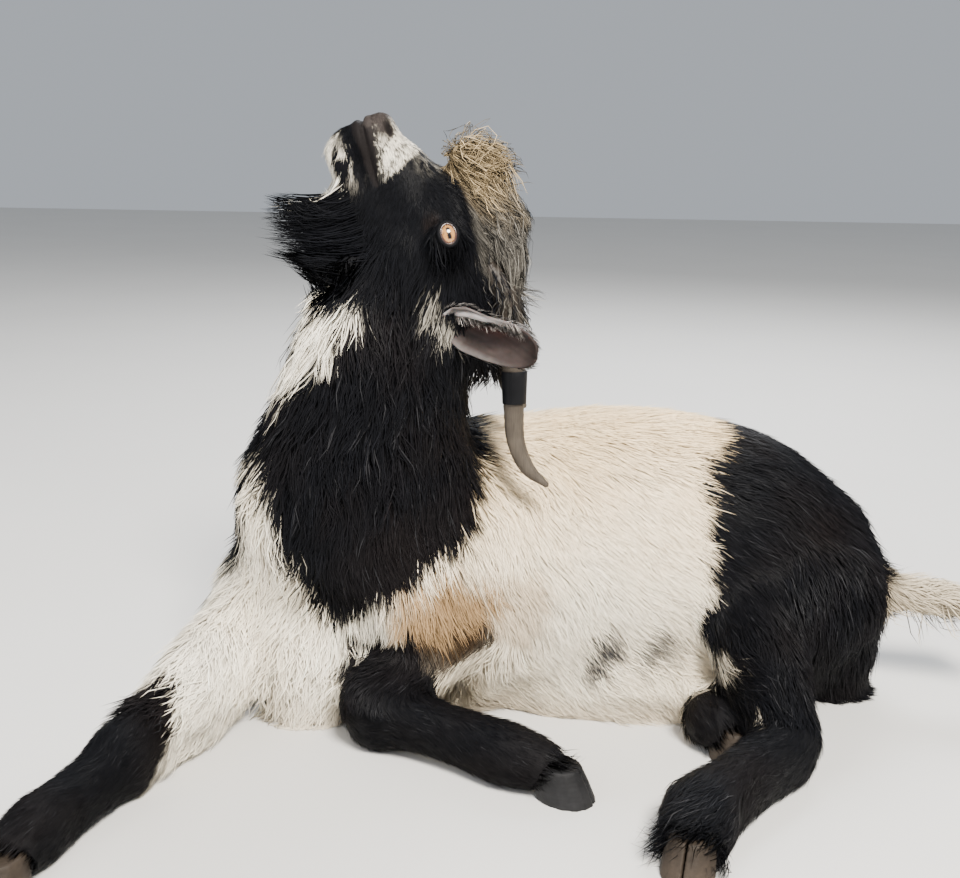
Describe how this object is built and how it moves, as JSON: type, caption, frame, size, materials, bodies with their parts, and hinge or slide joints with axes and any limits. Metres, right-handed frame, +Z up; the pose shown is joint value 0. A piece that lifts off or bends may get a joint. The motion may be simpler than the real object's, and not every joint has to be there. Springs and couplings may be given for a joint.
{
  "type": "goat",
  "caption": "Small horned goat lying down with its head thrown back and one foreleg stretched out, as a still life-size model with body, ears, horns and hooves as named parts.",
  "frame": {"origin": "centre of the whole goat in plan, at floor level", "axes": "+Z up, -X towards the front of the goat, -Y out of its left side"},
  "size_m": [0.8656, 0.5528, 0.544],
  "materials": {
    "coat_black": "long black hair",
    "coat_white": "cream-white hair",
    "coat_grey": "wavy grey-blond hair",
    "ear_skin": "thin haired skin",
    "eye": "wet amber eye",
    "horn": "ridged grey-brown horn",
    "tape": "black tape",
    "hoof": "dry grey-tan hoof horn"
  },
  "bodies": {
    "root": {"beard": "coat_black", "claw_foreleg_left_inner": "hoof", "claw_foreleg_left_outer": "hoof", "claw_foreleg_right_inner": "hoof", "claw_foreleg_right_outer": "hoof", "claw_hindleg_left_inner": "hoof", "claw_hindleg_left_outer": "hoof", "claw_hindleg_right_inner": "hoof", "claw_hindleg_right_outer": "hoof", "ear_left": "ear_skin", "ear_right": "ear_skin", "eye_left": "eye", "eye_right": "eye", "foreleg_left": "coat_black", "foreleg_right": "coat_black", "forelock": "coat_grey", "head": "coat_black", "hindleg_left": "coat_black", "hindleg_right": "coat_black", "horn_band": "tape", "horn_left": "horn", "horn_right": "horn", "neck": "coat_black", "tail": "coat_white", "trunk": "coat_white"}
  },
  "joints": []
}
